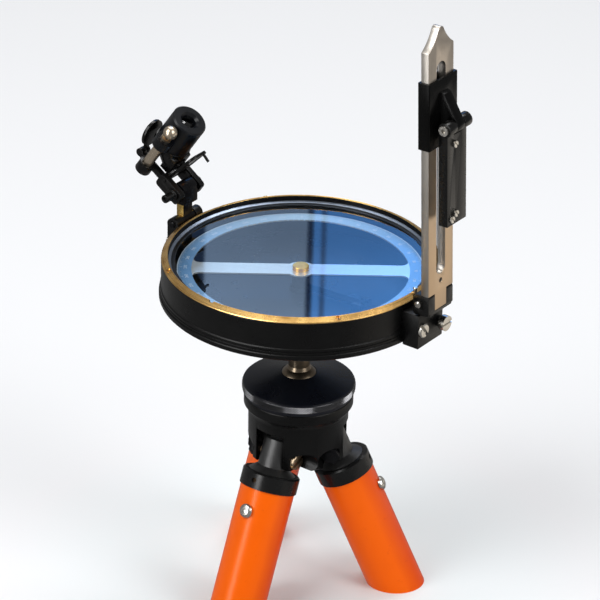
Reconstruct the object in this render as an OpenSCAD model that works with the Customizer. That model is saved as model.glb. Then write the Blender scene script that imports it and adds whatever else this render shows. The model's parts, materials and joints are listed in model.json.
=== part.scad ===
// Surveyor's compass on a ball head with three short tube legs.
// The origin is on the pan axis, at the underside of the head's hub. +Z is up and +X is the line of sight,
// from the prism on the -X side to the object vane on the +X side.

/* [Box] */
// Outside diameter of the box wall
box_d = 115; // [108:0.5:124]
// Thickness of the box wall
wall_t = 4.5; // [4:0.1:6]
// Height of the box wall, from the base to the bezel
shell_h = 14.2; // [13.6:0.1:18]
// Thickness of the base plate
base_t = 2.4; // [1.6:0.1:4]
// How far the base plate stands out from the wall
flange_out = 0.9; // [0.5:0.1:1.8]
// Height of the ridge round the foot of the wall
ridge_h = 2.8; // [2:0.1:3.4]
// How far the ridge stands out from the wall
ridge_out = 0.4; // [0.2:0.1:0.7]
// Gap between the clamp cap's rim and the underside of the box
box_lift = 40.2; // [34:0.2:60]

/* [Bezel and glass] */
// How far the bezel is set in from the face of the wall
bezel_set_in = 0.1; // [0.05:0.05:0.3]
// Height of the bezel's outer lip
bezel_lip_h = 0.4; // [0.3:0.1:1]
// Rise of the bezel's sloping face
bezel_rise = 1.4; // [1:0.1:2]
// Radial width of the bezel
bezel_w = 2.7; // [2.5:0.1:3]
// Thickness of the glass
glass_t = 1.4; // [1.2:0.1:2]
// Radial width of the ring that holds the glass down
glass_ring_w = 2.8; // [2.2:0.1:3.4]
// Thickness of the ring that holds the glass down
glass_ring_t = 0.95; // [0.7:0.05:1.3]
// Thickness of the gasket under the glass
gasket_t = 0.3; // [0.2:0.05:0.5]
// Number of bezel screws
bezel_screw_n = 4; // [3:1:6]

/* [Dial] */
// Gap between the dial's rim and the box wall
dial_gap = 2; // [1.5:0.1:4]
// Radial width of the dial's ring
dial_ring_w = 6; // [4:0.1:9]
// Thickness of the dial
dial_t = 0.6; // [0.4:0.1:1]
// Width of the bar across the dial
bar_w = 9; // [7:0.1:12]
// Gap between the dial and the glass
dial_drop = 2; // [2:0.1:3]
// Diameter of the disc at the middle of the dial
hub_d = 12.7; // [10:0.1:16]
// Diameter of the brass cap on the pivot
hub_cap_d = 6.7; // [5:0.1:9]
// Direction in which the dial's bar lies, measured from the line of sight
dial_heading = 36; // [0:1:179]
// Width of the magnet under the bar
magnet_w = 6; // [3:0.1:7]
// Thickness of the magnet
magnet_t = 1.2; // [0.6:0.1:2]

/* [Object vane] */
// Width of the vane
vane_w = 17; // [14:0.1:22]
// Thickness of the vane
vane_t = 3.6; // [2.6:0.1:3.6]
// Height of the vane's tip above its hinge
vane_h = 119; // [104:0.5:119.5]
// Width of the slot
slot_w = 6; // [4:0.1:8]
// Height of the slot's foot above the hinge
slot_foot = 12.1; // [11:0.1:24]
// Distance from the slot's top to the vane's tip
slot_top_gap = 14.8; // [13:0.1:20]
// Diameter of the sight hair
hair_d = 0.4; // [0.3:0.05:0.8]
// Distance from the vane's shoulders to its tip
tip_h = 9; // [8.8:0.1:9.4]
// Height of the vane's hinge above the top of the box wall
vane_hinge_up = 3; // [2.6:0.1:5]
// Distance of the vane's hinge from the box wall
vane_hinge_out = 7.1; // [6.6:0.1:9]
// Lean of the vane towards the prism, from upright
vane_lean = 2; // [0:0.1:3]

/* [Mirror] */
// Height of the sleeve on the vane
slide_h = 28.5; // [22:0.5:32]
// Wall of the sleeve
slide_wall = 1.2; // [0.8:0.1:2]
// Height of the sleeve's foot above the vane's hinge
slide_z = 69; // [60:0.5:70]
// Width of the mirror frame
mirror_w = 13; // [10:0.1:16]
// Length of the mirror frame below its hinge
mirror_h = 42; // [30:0.5:46]
// Thickness of the mirror frame
mirror_t = 4.1; // [3.4:0.1:5]
// Diameter of the mirror's hinge barrels
barrel_d = 6; // [5:0.1:7]

/* [Prism] */
// Height of the eyepiece barrel
eye_h = 15; // [12:0.1:20]
// Diameter of the eyepiece barrel
eye_d = 15.2; // [13:0.1:15.6]
// Diameter of the eye hole
eye_hole_d = 6.5; // [4:0.1:9]
// Lean of the eyepiece towards the vane, from upright
eye_lean = 35; // [20:1:40]
// Distance of the eyepiece's axis from the clamp pin
eye_out = 16.2; // [15.6:0.1:18]
// Height of the clamp pin above the post's hinge
post_h = 13.6; // [12.5:0.1:18]
// Width of the post
post_w = 6; // [5:0.1:7]
// Thickness of the post
post_t = 3.6; // [3:0.1:4]
// Diameter of the guide tube beside the eyepiece
guide_d = 4.5; // [3.5:0.1:5]
// Diameter of the guide tube's ball knob
knob_d = 6; // [5:0.1:7]

/* [Ball head] */
// Diameter of the ball
ball_d = 18; // [17:0.1:19]
// Diameter of the stem
stem_d = 9; // [7:0.1:9.6]
// Diameter of the clamp cap
cap_d = 46.9; // [44:0.1:56]
// Height of the cap's knurled side
cap_side_h = 5.2; // [4.6:0.1:8]
// Rise of the cap's cone
cap_rise = 3.9; // [3:0.1:4.2]
// Diameter of the hole in the cap's cone
cap_hole_d = 14.3; // [13.6:0.1:14.6]
// Diameter of the head below its flange
head_d = 42; // [40:0.1:50]
// Height of the head's flange
head_flange_h = 4.4; // [3:0.1:6]

/* [Legs] */
// Diameter of the leg tubes
tube_d = 23; // [20:0.1:24]
// Wall of the leg tubes
tube_wall = 1.5; // [1:0.1:2.5]
// Spread of each leg, from upright
leg_spread = 23; // [18:0.5:25]
// Distance of the leg hinges from the pan axis
leg_hinge_r = 15; // [14.8:0.1:18]
// Depth of the floor below the leg hinges
leg_drop = 65.2; // [50:0.2:120]
// Width of each leg's knuckle
knuckle_w = 13.4; // [12:0.1:14]
// Length of the collar at the top of each tube
collar_h = 7; // [5:0.1:10]
// Distance along the leg from its hinge to its collar
collar_down = 7.6; // [7.4:0.1:12]

/* [Fits] */
// Radial gap of pins and shafts that turn
run_fit = 0.05; // [0.02:0.01:0.1]
// Gap beside plain moving faces
side_gap = 0.3; // [0.2:0.05:0.4]

/* [Hidden] */
$fn = 64;
eps = 0.01;

// Heights, from the underside of the head's hub upwards
leg_hinge_z = -1.3;
hub_r = 4.4;
plumb_r = 2.5;
plumb_depth = 8;
slot_roof_z = 11;
skirt_z = -5;
seat_floor_z = 14.9;
head_flange_z = 18.2;
head_top_z = head_flange_z + head_flange_h;
neck_h = 4.6;
neck_r = 18;
cap_z = head_top_z + 0.2;
cap_rim_z = cap_z + cap_side_h;
cap_top_z = cap_rim_z + cap_rise;
cap_edge = 0.4;
ball_r = ball_d / 2;
ball_z = cap_top_z - sqrt(pow(ball_r, 2) - pow(cap_hole_d / 2, 2));
seat_r = 11;
box_z = cap_rim_z + box_lift;
floor_z = leg_hinge_z - leg_drop;

// Box
base_top_z = box_z + base_t;
shell_top_z = base_top_z + shell_h;
box_r = box_d / 2;
shell_in_r = box_r - wall_t;
ridge_r = box_r + ridge_out;
flange_r = box_r + flange_out;
bezel_r = box_r - bezel_set_in;
bezel_in_r = bezel_r - bezel_w;
bezel_lip_z = shell_top_z + bezel_lip_h;
bezel_top_z = bezel_lip_z + bezel_rise;
glass_seat = 3.3;
glass_r = bezel_in_r - 0.1;
glass_shelf_z = shell_top_z - glass_seat;
glass_z = glass_shelf_z + gasket_t;
glass_top_z = glass_z + glass_t;
shelf_r = glass_r - 1.8;
shelf_t = 0.8;
shelf_drop = 1.1;
dial_top_z = glass_z - dial_drop;
dial_z = dial_top_z - dial_t;
dial_r = shell_in_r - dial_gap;
dial_in_r = dial_r - dial_ring_w;
magnet_z = dial_z - magnet_t;
hub_cap_h = 1.75;
bar_corner_r = 3;
jewel_r = 1.3;
screw_d = 2.5;
base_screw_in = 5;
bezel_screw_in = 3.8;
bezel_screw_turn = 52;
bezel_screw_d = 1.2;
bezel_screw_head_d = 1.9;
bezel_screw_sunk = 0.5;
bezel_screw_r = (bezel_r + bezel_in_r) / 2;
bezel_screw_z = bezel_lip_z + bezel_rise / 2;
base_screw_n = 6;
base_screw_turn = 15;

// Lifting pin and lever
lift_x = box_r - 1.75;
lift_y = 2.5;
lift_pin_d = 1.6;
lift_pin_up = 3.2;
lift_head_r = 1.1;
lift_head_h = 0.55;
lever_t = 0.8;
lever_w = 4;
lever_z = base_top_z + 1.6;
lever_pivot_x = 30;
lever_pin_d = 1.6;
lift_notch_w = 5.6;
sleeve_r = 3;
lever_turn = atan2(lift_y, lift_x);
lever_reach = sqrt(pow(lift_x, 2) + pow(lift_y, 2));
lever_axis_z = lever_z + lever_t / 2;

// Pan socket under the base
pan_socket_r = 11;
pan_socket_h = 12;
pan_flange_r = 17;
pan_flange_t = 2.2;
stem_shoulder_r = 6.6;
stem_shoulder_t = 2;
groove_w = 3;
pan_screw_d = 4;
pan_screw_turn = 200;

// Blocks on the wall
block_w = 17;
block_drop = 0.6;
pin_r = 1.4;
vane_ear_t = 4.5;
vane_x = box_r + vane_hinge_out;
vane_z = shell_top_z + vane_hinge_up;
block_out = 7.7;
block_top_z = shell_top_z - 2.3;
knuckle_r = 2.5;
fix_y = 5.4;
fix_z = box_z + 6.9;
fix_head_d = 6;
brake_d = 2;
brake_head_d = 6.5;
brake_travel = 1;

// Vane
foot_back = 2.4;
foot_front = 5.2;
foot_up = 4.4;
tongue_w = 8;
tongue_t = 2.2;
foot_base = 1.4;
vane_face = vane_x + foot_front;
vane_back = vane_face - vane_t;
shoulder_z = vane_z + vane_h - tip_h;
tip_r = 1.9;
tip_cut_r = 20.3;
tip_cut_x = 11.5 + vane_w / 2;
tip_cut_up = 16.7;
peep_d = 2;
peep_up = 9.2;

// Mirror
slide_fit = 0.05;
slide_back = 0.8;
slide_front = 1.1;
rib_w = 5;
rib_y = 0.5;
mirror_gap = 2.4;
mirror_axis_up = 9.8;
barrel_run = 15;
mirror_back = vane_face + slide_front + mirror_gap;
mirror_x = mirror_back + barrel_d / 2;
mirror_z = vane_z + slide_z + mirror_axis_up;
mirror_glass_t = 1;
mirror_edge = 1.5;
mirror_glass_w = mirror_w - 2 * mirror_edge;
mirror_glass_h = mirror_h - barrel_d - 3 * mirror_edge;
mirror_pin_r = 1.2;

// Prism post and the carrier on its clamp pin
prism_hinge_out = 2.9;
prism_hinge_x = -box_r - prism_hinge_out;
prism_hinge_z = shell_top_z - 0.2;
bracket_out = 5.6;
clamp_x = prism_hinge_x - 0.3;
clamp_z = prism_hinge_z + post_h;
post_head_r = 3.6;
post_half = 4.2;
clamp_pin_r = 1.5;
cheek_t = 2.6;
cheek_in = post_half + 1;
cheek_out = cheek_in + cheek_t;
cheek_h = 6.4;
cheek_back = 9.4;
web_t = 1.8;
eye_z = 13;
eye_r = eye_d / 2;
lens_r = 5.4;
housing_half = cheek_in - 0.3;
prism_half = 4.2;
prism_face = 12.4;
prism_low = 4.6;
prism_top = 12;
guide_y = -(eye_r + 3.6);
guide_z = 4;
boss_z = 17;
boss_h = 4.3;
boss_r = 4.2;
knob_z = boss_z + boss_h + knob_d / 2 + 1.1;
shade_x = -6.9;
shade_z = 1.4;
shade_lean = 10;
shade_w = 11;
shade_h = 18.5;
shade_t = 1.2;
shade_pin_r = 0.9;
dark_x = -22.6;
dark_z = 1.5;
dark_lean = -20;
dark_knuckle = 2.6;
dark_w = 12;
dark_h = 14;

// Legs, named by their direction from the line of sight
leg_turns = [30, 150, 270];
leg_slot_w = knuckle_w + 2 * side_gap;
knuckle_up = 7.4;
leg_bolt_r = 2.2;
leg_bolt_head_d = 7;
ear_w = 2.6;
bolt_pocket_r = 4.6;
collar_r = tube_d / 2 + 0.7;
tube_top = collar_down + collar_h;
spigot_end = 30;
leg_screw_d = 6;
leg_screw_gap = 10;
leg_screw_down = tube_top + leg_screw_gap;
leg_screw_r = 1.5;

// A ring with straight sides
module ring(r_out, r_in, h) {
    difference() {
        cylinder(r = r_out, h = h);
        translate([0, 0, -1]) cylinder(r = r_in, h = h + 2);
    }
}

// A rectangle with its lower corner at the origin and rounded corners
module round_rect(size, r) {
    translate([r, 0]) square([size[0] - 2 * r, size[1]]);
    translate([0, r]) square([size[0], size[1] - 2 * r]);
    for (x = [r, size[0] - r])
        for (y = [r, size[1] - r])
            translate([x, y]) circle(r = r);
}

// Stands an outline drawn in width and height up, facing +X
module facing_x(x, t) {
    translate([x, 0, 0]) rotate([90, 0, 90]) linear_extrude(height = t) children();
}

// Lays an outline drawn in X and Z across Y, from y0 to y1
module across_y(y0, y1) {
    translate([0, y1, 0]) rotate([90, 0, 0]) linear_extrude(height = y1 - y0) children();
}

// A pin or bore along Y
module rod_y(x, z, y0, y1, r) {
    translate([x, y0, z]) rotate([-90, 0, 0]) cylinder(r = r, h = y1 - y0);
}

// A pin or bore along X
module rod_x(x0, x1, y, z, r) {
    translate([x0, y, z]) rotate([0, 90, 0]) cylinder(r = r, h = x1 - x0);
}

// A screw head lying on z = 0 with a slot across its top
module slotted_head(d, h, dome = 0) {
    difference() {
        union() {
            cylinder(r = d / 2, h = h - dome);
            if (dome > 0)
                translate([0, 0, h - dome - eps]) cylinder(r1 = d / 2, r2 = d / 2 - dome, h = dome + eps);
        }
        translate([-d, -0.12 * d, h - 0.2 * d]) cube([2 * d, 0.24 * d, d]);
    }
}

// Places what is drawn along a leg, with the leg's hinge at the origin
module leg_place(turn) {
    rotate([0, 0, turn])
        translate([leg_hinge_r, 0, leg_hinge_z])
            rotate([0, -leg_spread, 0])
                children();
}

// Places what is drawn round the clamp pin, with the eyepiece's axis along Z
module prism_place() {
    translate([clamp_x, 0, clamp_z]) rotate([0, eye_lean, 0]) children();
}

// Leans what is drawn upright on the vane about the vane's hinge
module vane_place() {
    translate([vane_x, 0, vane_z])
        rotate([0, -vane_lean, 0])
            translate([-vane_x, 0, -vane_z])
                children();
}

module tripod_head() {
    head_r = head_d / 2;
    flange_edge = head_r + 1.95;
    color([0.07, 0.07, 0.07])
        difference() {
            union() {
                difference() {
                    rotate_extrude()
                        polygon([[0, skirt_z], [head_r - 0.8, skirt_z], [head_r, skirt_z + 0.8],
                            [head_r, head_flange_z - 3.6], [head_r + 0.5, head_flange_z - 1.8],
                            [flange_edge, head_flange_z], [flange_edge, head_top_z - 0.4],
                            [flange_edge - 0.4, head_top_z], [neck_r, head_top_z],
                            [neck_r, head_top_z + neck_h],
                            [0, head_top_z + neck_h]]);
                    translate([0, 0, skirt_z - 1]) cylinder(r = head_r / 2, h = slot_roof_z - skirt_z + 1);
                    for (turn = leg_turns)
                        rotate([0, 0, turn])
                            translate([0, -leg_slot_w / 2, skirt_z - 1])
                                cube([2 * head_r, leg_slot_w, slot_roof_z - skirt_z + 1]);
                }
                cylinder(r = hub_r, h = slot_roof_z + 1);
            }
            translate([0, 0, seat_floor_z]) cylinder(r = seat_r, h = head_top_z);
            translate([0, 0, -1]) cylinder(r = plumb_r, h = plumb_depth + 1);
            for (turn = leg_turns)
                rotate([0, 0, turn]) {
                    rod_y(leg_hinge_r, leg_hinge_z, -head_r, head_r, leg_bolt_r);
                    for (side = [-1, 1])
                        translate([0, side * (leg_slot_w / 2 + ear_w + 10), 0])
                            rod_y(leg_hinge_r, leg_hinge_z, -10, 10, bolt_pocket_r);
                }
        }
}

module leg_bolts() {
    seat = leg_slot_w / 2 + ear_w;
    color([0.62, 0.6, 0.56])
        for (turn = leg_turns)
            rotate([0, 0, turn])
                translate([leg_hinge_r, 0, leg_hinge_z]) {
                    rod_y(0, 0, -seat - 2.6, seat, leg_bolt_r);
                    translate([0, seat, 0]) rotate([-90, 20, 0]) slotted_head(leg_bolt_head_d, 1.8, 0.3);
                    difference() {
                        translate([0, -seat, 0]) rotate([90, 0, 0]) cylinder(r = 3.8, h = 2.2, $fn = 6);
                        rod_y(0, 0, -seat - 3, -seat + 1, leg_bolt_r);
                    }
                }
}

module clamp_cap() {
    cap_r = cap_d / 2;
    hole_r = cap_hole_d / 2;
    roof_z = head_top_z + neck_h + side_gap;
    groove_z = cap_z + 0.9;
    color([0.06, 0.06, 0.07])
        difference() {
            rotate_extrude()
                polygon([[neck_r + run_fit, cap_z], [cap_r - 0.5, cap_z], [cap_r - 0.5, groove_z],
                    [cap_r - 0.15, groove_z], [cap_r, groove_z + 0.15], [cap_r, cap_rim_z - cap_edge],
                    [cap_r - cap_edge, cap_rim_z], [hole_r + 0.3, cap_top_z], [hole_r, cap_top_z - 0.2],
                    [hole_r, roof_z], [neck_r + run_fit, roof_z]]);
            translate([0, 0, ball_z]) sphere(r = ball_r + run_fit);
        }
}

module ball_seat() {
    color([0.72, 0.58, 0.3])
        difference() {
            translate([0, 0, seat_floor_z + 0.1])
                cylinder(r = seat_r - 0.08, h = ball_z - 1.5 - seat_floor_z);
            translate([0, 0, ball_z]) sphere(r = ball_r + run_fit);
            cylinder(r = 3, h = ball_z);
        }
}

module ball_stem() {
    stem_r = stem_d / 2;
    socket_z = box_z - pan_socket_h;
    foot_r = stem_r + 0.7;
    foot_z = ball_z + sqrt(pow(ball_r, 2) - pow(foot_r, 2)) - 0.1;
    color([0.45, 0.42, 0.38])
        difference() {
            union() {
                translate([0, 0, ball_z]) sphere(r = ball_r);
                translate([0, 0, ball_z]) cylinder(r = stem_r, h = box_z - side_gap - ball_z);
                translate([0, 0, foot_z]) cylinder(r1 = foot_r, r2 = stem_r, h = 1.6);
                translate([0, 0, socket_z - 0.1 - stem_shoulder_t])
                    cylinder(r = stem_shoulder_r, h = stem_shoulder_t);
            }
            translate([0, 0, socket_z + pan_socket_h / 2 - 1 - groove_w / 2])
                ring(ball_r, stem_r - 0.9, groove_w);
        }
}

module pan_socket() {
    socket_z = box_z - pan_socket_h;
    color([0.08, 0.08, 0.08])
        difference() {
            union() {
                translate([0, 0, socket_z]) cylinder(r = pan_socket_r, h = pan_socket_h);
                translate([0, 0, box_z - pan_flange_t]) cylinder(r = pan_flange_r, h = pan_flange_t);
            }
            translate([0, 0, socket_z - 1]) cylinder(r = stem_d / 2 + run_fit, h = pan_socket_h + 2);
            rotate([0, 0, pan_screw_turn])
                rod_x(0, 2 * pan_socket_r, 0, socket_z + pan_socket_h / 2 - 1, pan_screw_d / 2 + run_fit);
        }
}

module pan_screw() {
    color([0.75, 0.74, 0.72])
        rotate([0, 0, pan_screw_turn])
            translate([0, 0, box_z - pan_socket_h / 2 - 1])
                difference() {
                    union() {
                        rod_x(stem_d / 2 - 0.75, pan_socket_r, 0, 0, groove_w / 2 - 0.2);
                        rod_x(stem_d / 2 + 0.3, pan_socket_r + 2, 0, 0, pan_screw_d / 2);
                        rod_x(pan_socket_r + 1.2, pan_socket_r + 6, 0, 0, 4.2);
                    }
                    translate([pan_socket_r + 6, 0, 0]) sphere(r = 1.6);
                }
}

module base_plate() {
    color([0.07, 0.07, 0.07])
        difference() {
            union() {
                rotate_extrude()
                    polygon([[0, box_z], [flange_r - 0.5, box_z], [flange_r, box_z + 0.5],
                        [flange_r, base_top_z - 0.3],
                        [flange_r - 0.3, base_top_z], [0, base_top_z]]);
                rotate([0, 0, lever_turn])
                    for (side = [-1, 1])
                        translate([lever_pivot_x - 2, side * (lever_w / 2 + side_gap + 1) - 1,
                            base_top_z - eps])
                            cube([4, 2, lever_axis_z - base_top_z + 1.6]);
            }
            base_screw_places() {
                translate([0, 0, box_z - 1]) cylinder(r = screw_d / 2, h = base_t + 2);
                translate([0, 0, box_z - eps]) cylinder(r1 = screw_d, r2 = screw_d / 2, h = screw_d / 2);
            }
            lever_pin_space();
        }
}

module base_screw_places() {
    for (i = [0 : base_screw_n - 1])
        rotate([0, 0, base_screw_turn + i * 360 / base_screw_n])
            translate([box_r - wall_t / 2, 0, 0])
                children();
}

module base_screws() {
    color([0.6, 0.6, 0.58])
        base_screw_places() {
            translate([0, 0, box_z]) cylinder(r = screw_d / 2, h = base_t + base_screw_in);
            translate([0, 0, box_z]) cylinder(r1 = screw_d - eps, r2 = screw_d / 2, h = screw_d / 2 - eps);
        }
}

module box_shell() {
    color([0.06, 0.06, 0.06])
        difference() {
            rotate_extrude()
                polygon([[shell_in_r, base_top_z], [ridge_r, base_top_z], [ridge_r, base_top_z + 0.9],
                    [ridge_r - 0.35, base_top_z + 1.15], [ridge_r - 0.35, base_top_z + 1.35],
                    [ridge_r, base_top_z + 1.6], [ridge_r, base_top_z + ridge_h - 0.4],
                    [box_r, base_top_z + ridge_h], [box_r, shell_top_z - 0.3], [bezel_r, shell_top_z],
                    [bezel_in_r, shell_top_z], [bezel_in_r, glass_shelf_z], [shelf_r, glass_shelf_z],
                    [shelf_r, glass_shelf_z - shelf_t],
                    [shell_in_r, glass_shelf_z - shelf_t - shelf_drop]]);
            base_screw_places() translate([0, 0, base_top_z - 1])
                cylinder(r = screw_d / 2, h = base_screw_in + 1.2);
            bezel_screw_places() translate([0, 0, shell_top_z - 4]) cylinder(d = bezel_screw_d, h = 5);
            translate([lift_x, lift_y, base_top_z]) cylinder(r = lift_pin_d / 2 + run_fit, h = shell_h + 1);
            rotate([0, 0, lever_turn])
                translate([shell_in_r - 1, -lift_notch_w / 2, base_top_z - 1])
                    cube([lift_x - shell_in_r + 2.2, lift_notch_w, 1 + lever_z + lever_t + 0.7 - base_top_z]);
            rod_x(shell_in_r - 3, box_r + 1, fix_y, fix_z, brake_d / 2 + run_fit);
            rod_x(box_r - 3.2, box_r + 1, -fix_y, fix_z, 1.5);
            for (side = [-1, 1]) rod_x(-box_r - 1, -box_r + 3.2, side * fix_y, fix_z, 1.5);
        }
}

module glass_gasket() {
    color([0.1, 0.1, 0.1]) translate([0, 0, glass_shelf_z]) ring(glass_r - 0.1, shelf_r + 0.1, gasket_t);
}

module glass() {
    color([0.7, 0.85, 0.95, 0.35]) translate([0, 0, glass_z]) cylinder(r = glass_r, h = glass_t);
}

module glass_ring() {
    in_r = glass_r - glass_ring_w;
    foot = glass_top_z + 0.35;
    color([0.62, 0.66, 0.72])
        rotate_extrude()
            polygon([[in_r, glass_top_z], [glass_r, glass_top_z], [glass_r, glass_top_z + glass_ring_t],
                [glass_r - 0.2, glass_top_z + glass_ring_t], [glass_r - 1.4, foot], [in_r + 0.2, foot],
                [in_r, foot - 0.15]]);
}

module bezel_screw_places() {
    for (i = [0 : bezel_screw_n - 1])
        rotate([0, 0, bezel_screw_turn + i * 360 / bezel_screw_n])
            translate([bezel_screw_r, 0, 0])
                children();
}

module bezel() {
    color([0.78, 0.6, 0.25])
        difference() {
            rotate_extrude()
                polygon([[bezel_in_r, shell_top_z], [bezel_r, shell_top_z], [bezel_r, bezel_lip_z - 0.2],
                    [bezel_r - 0.2, bezel_lip_z], [bezel_in_r + 0.3, bezel_top_z],
                    [bezel_in_r, bezel_top_z - 0.25]]);
            bezel_screw_places() {
                translate([0, 0, shell_top_z - 1]) cylinder(d = bezel_screw_d, h = 6);
                translate([0, 0, bezel_screw_z - bezel_screw_sunk])
                    cylinder(d = bezel_screw_head_d + 0.1, h = 3);
            }
            translate([lift_x, lift_y, shell_top_z - 1]) cylinder(r = lift_pin_d / 2 + run_fit, h = 6);
            rotate([0, 0, -94]) translate([bezel_in_r, 0, bezel_lip_z + 0.3]) cylinder(r = 1.2, h = 3);
        }
}

module bezel_screws() {
    low = shell_top_z - bezel_screw_in;
    seat = bezel_screw_z - bezel_screw_sunk;
    color([0.7, 0.56, 0.28])
        bezel_screw_places() {
            translate([0, 0, low]) cylinder(d = bezel_screw_d, h = seat - low + eps);
            translate([0, 0, seat]) slotted_head(bezel_screw_head_d, bezel_screw_sunk + 0.1);
        }
}

module pivot_post() {
    color([0.75, 0.6, 0.3])
        rotate_extrude()
            polygon([[0, base_top_z], [4.5, base_top_z], [4.5, base_top_z + 1.3], [4.2, base_top_z + 1.6],
                [2, base_top_z + 1.6], [2, magnet_z - 0.5], [1.1, magnet_z - 0.3], [1.05, dial_z],
                [0, dial_z + 1.32]]);
}

module dial_ring() {
    color([0.62, 0.72, 0.84])
        translate([0, 0, dial_z])
            rotate([0, 0, dial_heading])
                linear_extrude(height = dial_t)
                    difference() {
                        union() {
                            difference() {
                                circle(r = dial_r);
                                circle(r = dial_in_r);
                            }
                            square([2 * dial_in_r + 1, bar_w], center = true);
                            circle(d = hub_d);
                            bar_corners();
                        }
                        circle(r = jewel_r);
                    }
}

// The rounded corners where the dial's bar meets its ring
module bar_corners() {
    x = sqrt(pow(dial_in_r - bar_corner_r, 2) - pow(bar_w / 2 + bar_corner_r, 2));
    y = bar_w / 2 + bar_corner_r;
    out = (dial_in_r + 0.4) / (dial_in_r - bar_corner_r);
    for (u = [-1, 1])
        for (v = [-1, 1])
            difference() {
                polygon([[u * x, v * (bar_w / 2 - 1)], [u * (dial_in_r + 1), v * (bar_w / 2 - 1)],
                    [u * x * out, v * y * out], [u * x, v * y]]);
                translate([u * x, v * y]) circle(r = bar_corner_r);
            }
}

module magnet_needle() {
    reach = dial_in_r - 1;
    color([0.35, 0.36, 0.38])
        translate([0, 0, magnet_z])
            rotate([0, 0, dial_heading])
                linear_extrude(height = magnet_t)
                    difference() {
                        polygon([[-reach, -1.5], [-reach + 8, -magnet_w / 2], [reach - 8, -magnet_w / 2],
                            [reach, -1.5], [reach, 1.5], [reach - 8, magnet_w / 2], [-reach + 8, magnet_w / 2],
                            [-reach, 1.5]]);
                        circle(r = 1.7);
                    }
}

module hub_cap() {
    r = hub_cap_d / 2;
    color([0.8, 0.62, 0.28])
        translate([0, 0, dial_top_z])
            rotate_extrude()
                polygon([[0, 1], [jewel_r, 1], [jewel_r, 0], [r, 0], [r, 0.8], [r - 0.2, 0.9], [r - 0.2, 1.1],
                    [r, 1.2], [r, hub_cap_h - 0.2], [r - 0.2, hub_cap_h], [0, hub_cap_h]]);
}

module hub_jewel() {
    color([0.5, 0.1, 0.15])
        rotate_extrude()
            polygon([[1.2, dial_z], [jewel_r, dial_z], [jewel_r, dial_top_z + 1], [0, dial_top_z + 1],
                [0, dial_z + 1.4]]);
}

module lifting_pin() {
    r = lift_pin_d / 2;
    low = lever_z + lever_t + 0.1;
    top = bezel_lip_z + lift_pin_up - low;
    color([0.8, 0.78, 0.74])
        translate([lift_x, lift_y, low])
            rotate_extrude()
                polygon([[0, 0], [r, 0], [r, top - lift_head_h], [lift_head_r, top - lift_head_h],
                    [lift_head_r, top - 0.3], [lift_head_r - 0.3, top], [0, top]]);
}

module lever_pin_space() {
    rotate([0, 0, lever_turn]) rod_y(lever_pivot_x, lever_axis_z, -6, 6, lever_pin_d / 2);
}

module lifting_lever() {
    color([0.72, 0.58, 0.3])
        rotate([0, 0, lever_turn])
            difference() {
                union() {
                    translate([sleeve_r, -lever_w / 2, lever_z])
                        cube([lever_reach - sleeve_r + 0.8, lever_w, lever_t]);
                    translate([0, 0, lever_z]) cylinder(r = sleeve_r + 0.6, h = magnet_z - 1.6 - lever_z);
                    rod_y(lever_pivot_x, lever_axis_z, -lever_w / 2, lever_w / 2, 1.4);
                }
                translate([0, 0, lever_z - 1]) cylinder(r = sleeve_r - 0.5, h = shell_h);
                rod_y(lever_pivot_x, lever_axis_z, -lever_w, lever_w, lever_pin_d / 2 + run_fit);
            }
}

module lever_pin() {
    end = lever_w / 2 + side_gap + 2;
    color([0.7, 0.7, 0.7])
        rotate([0, 0, lever_turn]) rod_y(lever_pivot_x, lever_axis_z, -end, end, lever_pin_d / 2);
}

// What the wall of the box takes out of a block that is screwed to it
module wall_space() {
    translate([0, 0, box_z - 2]) cylinder(r = flange_r, h = base_t + 2);
    translate([0, 0, base_top_z - eps]) cylinder(r = ridge_r, h = ridge_h + eps);
    translate([0, 0, base_top_z]) cylinder(r = box_r, h = 2 * shell_h);
}

module hinge_block() {
    low = box_z - block_drop;
    front = box_r + block_out;
    knuckle_half = vane_w / 2 - vane_ear_t - side_gap;
    color([0.07, 0.07, 0.07])
        difference() {
            union() {
                translate([box_r - 2, -block_w / 2, low]) cube([block_out + 2, block_w, block_top_z - low]);
                rod_y(vane_x, vane_z, -knuckle_half, knuckle_half, knuckle_r);
                translate([vane_x - knuckle_r, -knuckle_half, block_top_z - 1])
                    cube([front - vane_x + knuckle_r, 2 * knuckle_half, vane_z - block_top_z + 1]);
                rod_x(front - 1, front + 1, fix_y, fix_z, 2.4);
            }
            wall_space();
            rod_y(vane_x, vane_z, -block_w, block_w, pin_r);
            rod_x(box_r - 3, front + 2, fix_y, fix_z, brake_d / 2 + run_fit);
            rod_x(box_r - 3, front + 2, -fix_y, fix_z, 1.5);
        }
}

module block_screws() {
    color([0.82, 0.78, 0.68]) {
        rod_x(box_r - 3, box_r + block_out, -fix_y, fix_z, 1.5);
        translate([box_r + block_out, -fix_y, fix_z]) rotate([0, 90, 0]) rotate([0, 0, 35])
            slotted_head(fix_head_d, 1.3, 0.4);
        for (side = [-1, 1]) {
            rod_x(-box_r - bracket_out, -box_r + 3, side * fix_y, fix_z, 1.5);
            translate([-box_r - bracket_out, side * fix_y, fix_z]) rotate([0, -90, 0])
                slotted_head(fix_head_d, 1.3, 0.4);
        }
    }
}

module hinge_pins() {
    half = block_w / 2;
    color([0.8, 0.64, 0.32])
        for (place = [[vane_x, vane_z], [prism_hinge_x, prism_hinge_z]]) {
            rod_y(place[0], place[1], -half - 0.3, half + 0.3, pin_r);
            for (side = [-1, 1])
                translate([place[0], side * (half + 0.3 - eps), place[1]])
                    rotate([-90 * side, 0, 0])
                        cylinder(r1 = pin_r, r2 = pin_r - 0.5, h = 0.4);
        }
}

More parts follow.
